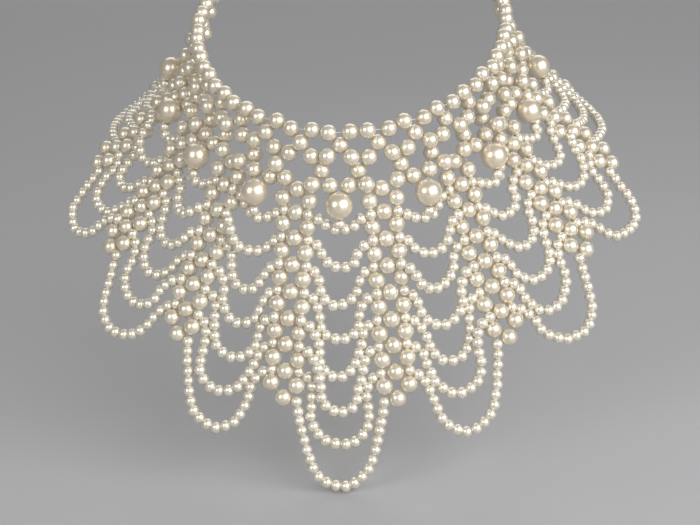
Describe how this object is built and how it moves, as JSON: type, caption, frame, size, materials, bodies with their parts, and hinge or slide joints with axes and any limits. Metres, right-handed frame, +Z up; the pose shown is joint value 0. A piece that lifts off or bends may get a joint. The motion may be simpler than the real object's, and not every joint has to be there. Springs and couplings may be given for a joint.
{
  "type": "bib necklace",
  "caption": "Woven bib collar of imitation pearls in its worn form: neckline strand, pierced pearl net, drop pearls, pearl ladders and hanging seed-bead swags.",
  "frame": {"origin": "the middle of the neckline loop, where the collar sits round a neck", "axes": "+X to the wearer's left, -Y toward the wearer's front, +Z up"},
  "size_m": [0.219, 0.1588, 0.1705],
  "materials": {
    "pearl_coat": "soft pearl gloss, ivory",
    "seed_bead_coat": "soft pearl gloss, pale ivory",
    "drop_pearl_coat": "soft pearl gloss, warm champagne",
    "clasp_metal": "plain silver-toned metal"
  },
  "bodies": {
    "root": {"neckline_strand": "pearl_coat", "clasp": "clasp_metal", "net": "pearl_coat", "ladder_1": "pearl_coat", "ladder_2": "pearl_coat", "ladder_3": "pearl_coat", "ladder_4": "pearl_coat", "ladder_5": "pearl_coat", "ladder_6": "pearl_coat", "ladder_7": "pearl_coat", "ladder_8": "pearl_coat", "ladder_9": "pearl_coat", "ladder_10": "pearl_coat", "garland_1": "seed_bead_coat", "garland_2": "seed_bead_coat", "garland_3": "seed_bead_coat", "garland_4": "seed_bead_coat", "garland_5": "seed_bead_coat", "garland_6": "seed_bead_coat", "garland_7": "seed_bead_coat", "garland_8": "seed_bead_coat", "garland_9": "seed_bead_coat", "drop_pearl_1": "drop_pearl_coat", "drop_pearl_2": "drop_pearl_coat", "drop_pearl_3": "drop_pearl_coat", "drop_pearl_4": "drop_pearl_coat", "drop_pearl_5": "drop_pearl_coat", "drop_pearl_6": "drop_pearl_coat", "drop_pearl_7": "drop_pearl_coat", "drop_pearl_8": "drop_pearl_coat", "drop_pearl_9": "drop_pearl_coat"}
  },
  "joints": []
}
